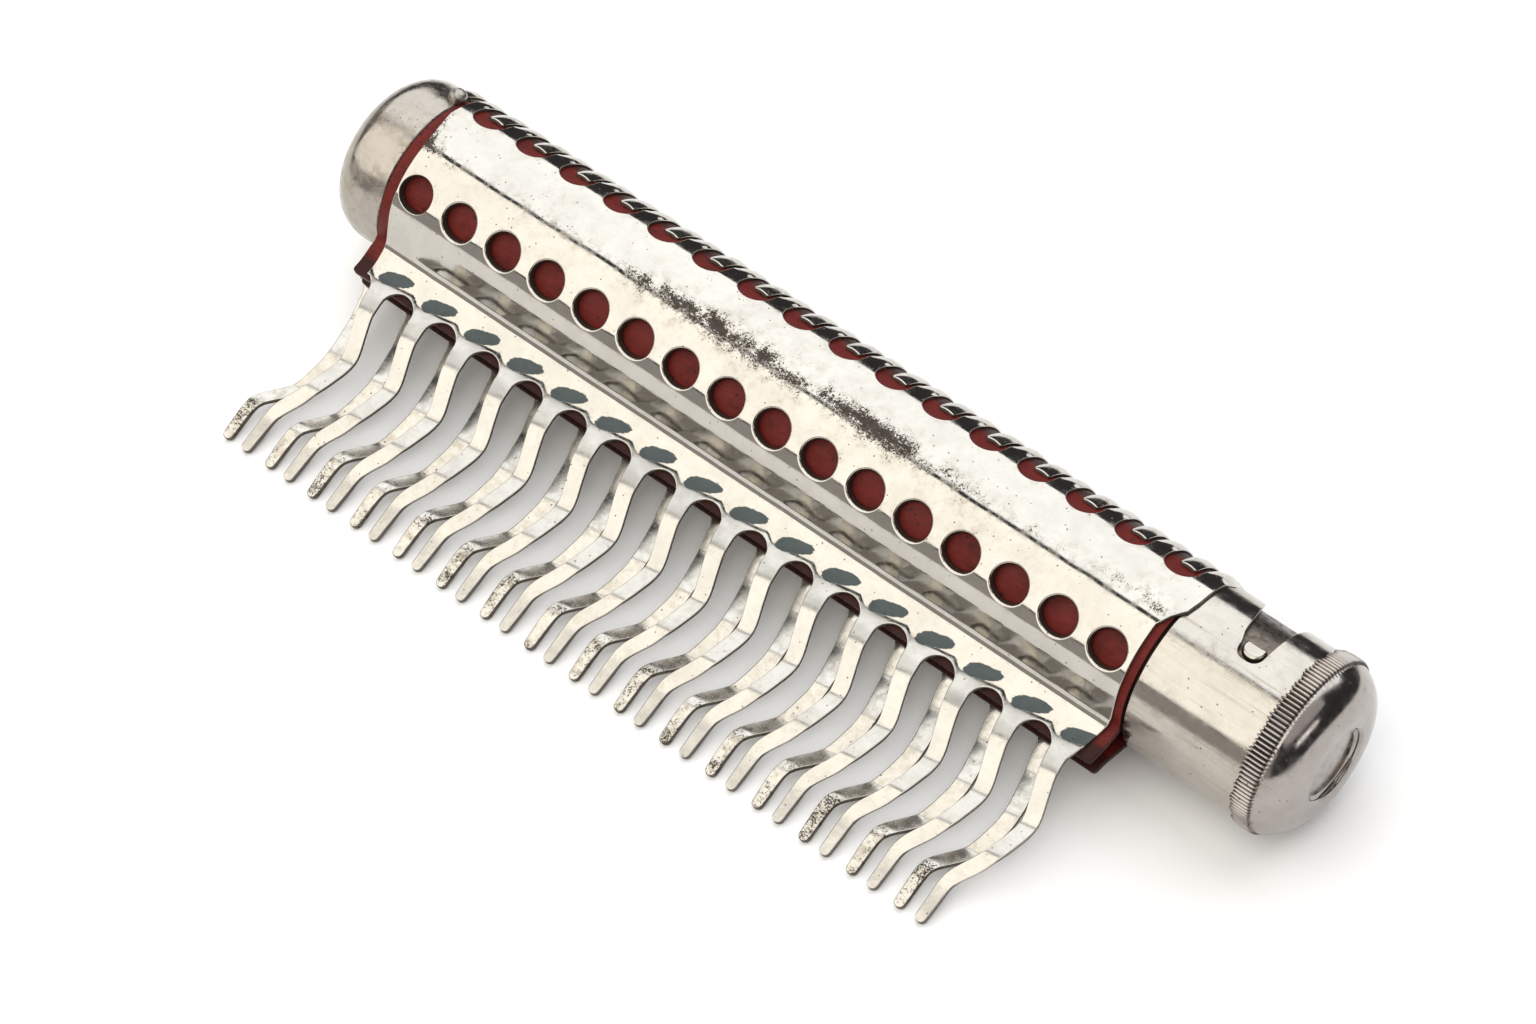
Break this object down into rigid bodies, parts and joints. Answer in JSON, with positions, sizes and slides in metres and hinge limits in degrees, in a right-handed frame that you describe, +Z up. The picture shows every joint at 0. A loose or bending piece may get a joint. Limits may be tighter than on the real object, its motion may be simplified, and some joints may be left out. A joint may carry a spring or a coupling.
{
  "type": "electric massage comb",
  "caption": "Antique battery massage comb: two sprung nickel-plated comb plates with wavy teeth around an insulated battery tube with a bayonet cap.",
  "frame": {"origin": "under the middle of the bounding box, on the surface that the comb lies on", "axes": "+X along the battery tube from its closed end to the bayonet cap, +Y from the tooth tips to the spine, +Z up, with the comb lying on its tube and tooth tips"},
  "size_m": [0.1344, 0.0478, 0.0215],
  "materials": {
    "nickel_plate": "old nickel plate on sprung brass sheet, bright, with fine scratches, dark pits and brown spots where the plating has failed",
    "tube_plate": "thin nickel plate on brass tube, duller than the comb plates",
    "cup_plate": "worn nickel plate on drawn brass, cloudy, with yellow-grey patches",
    "cap_plate": "nickel plate on drawn brass with scratches along it and grime in the milled rim",
    "red_fibre": "red vulcanised fibre, smooth and slightly mottled, matt at its cut edges",
    "solder": "dull lumpy solder",
    "brass": "plain brass, lightly tarnished",
    "spring_wire": "tinned steel spring wire",
    "zinc": "plain zinc, dull grey",
    "card": "brown card and paper",
    "carbon": "pressed black mix and carbon, dull",
    "pitch": "black pitch, slightly glossy"
  },
  "bodies": {
    "comb": {"front_comb_plate": "nickel_plate", "back_comb_plate": "nickel_plate", "front_fibre_liner": "red_fibre", "back_fibre_liner": "red_fibre", "battery_tube": "tube_plate", "locking_stud": "tube_plate", "contact_tag": "brass", "end_cup": "cup_plate", "end_insulator": "red_fibre", "centre_contact": "brass", "solder_bead": "solder", "cell_sleeve": "card", "cell_1_can": "zinc", "cell_1_jacket": "card", "cell_1_bobbin": "carbon", "cell_1_rod": "carbon", "cell_1_seal": "pitch", "cell_1_cap": "brass", "cell_2_can": "zinc", "cell_2_jacket": "card", "cell_2_bobbin": "carbon", "cell_2_rod": "carbon", "cell_2_seal": "pitch", "cell_2_cap": "brass"},
    "cap": {"cap_sleeve": "cap_plate", "cap_dome": "cap_plate", "cap_spring": "spring_wire", "spring_disc": "brass"}
  },
  "joints": [
    {"name": "cap_twist", "type": "hinge", "parent": "comb", "child": "cap", "pos_m": [0.05, 0.01314, 0.01075], "axis": [1, 0, 0], "range_deg": [0, 72]}
  ]
}
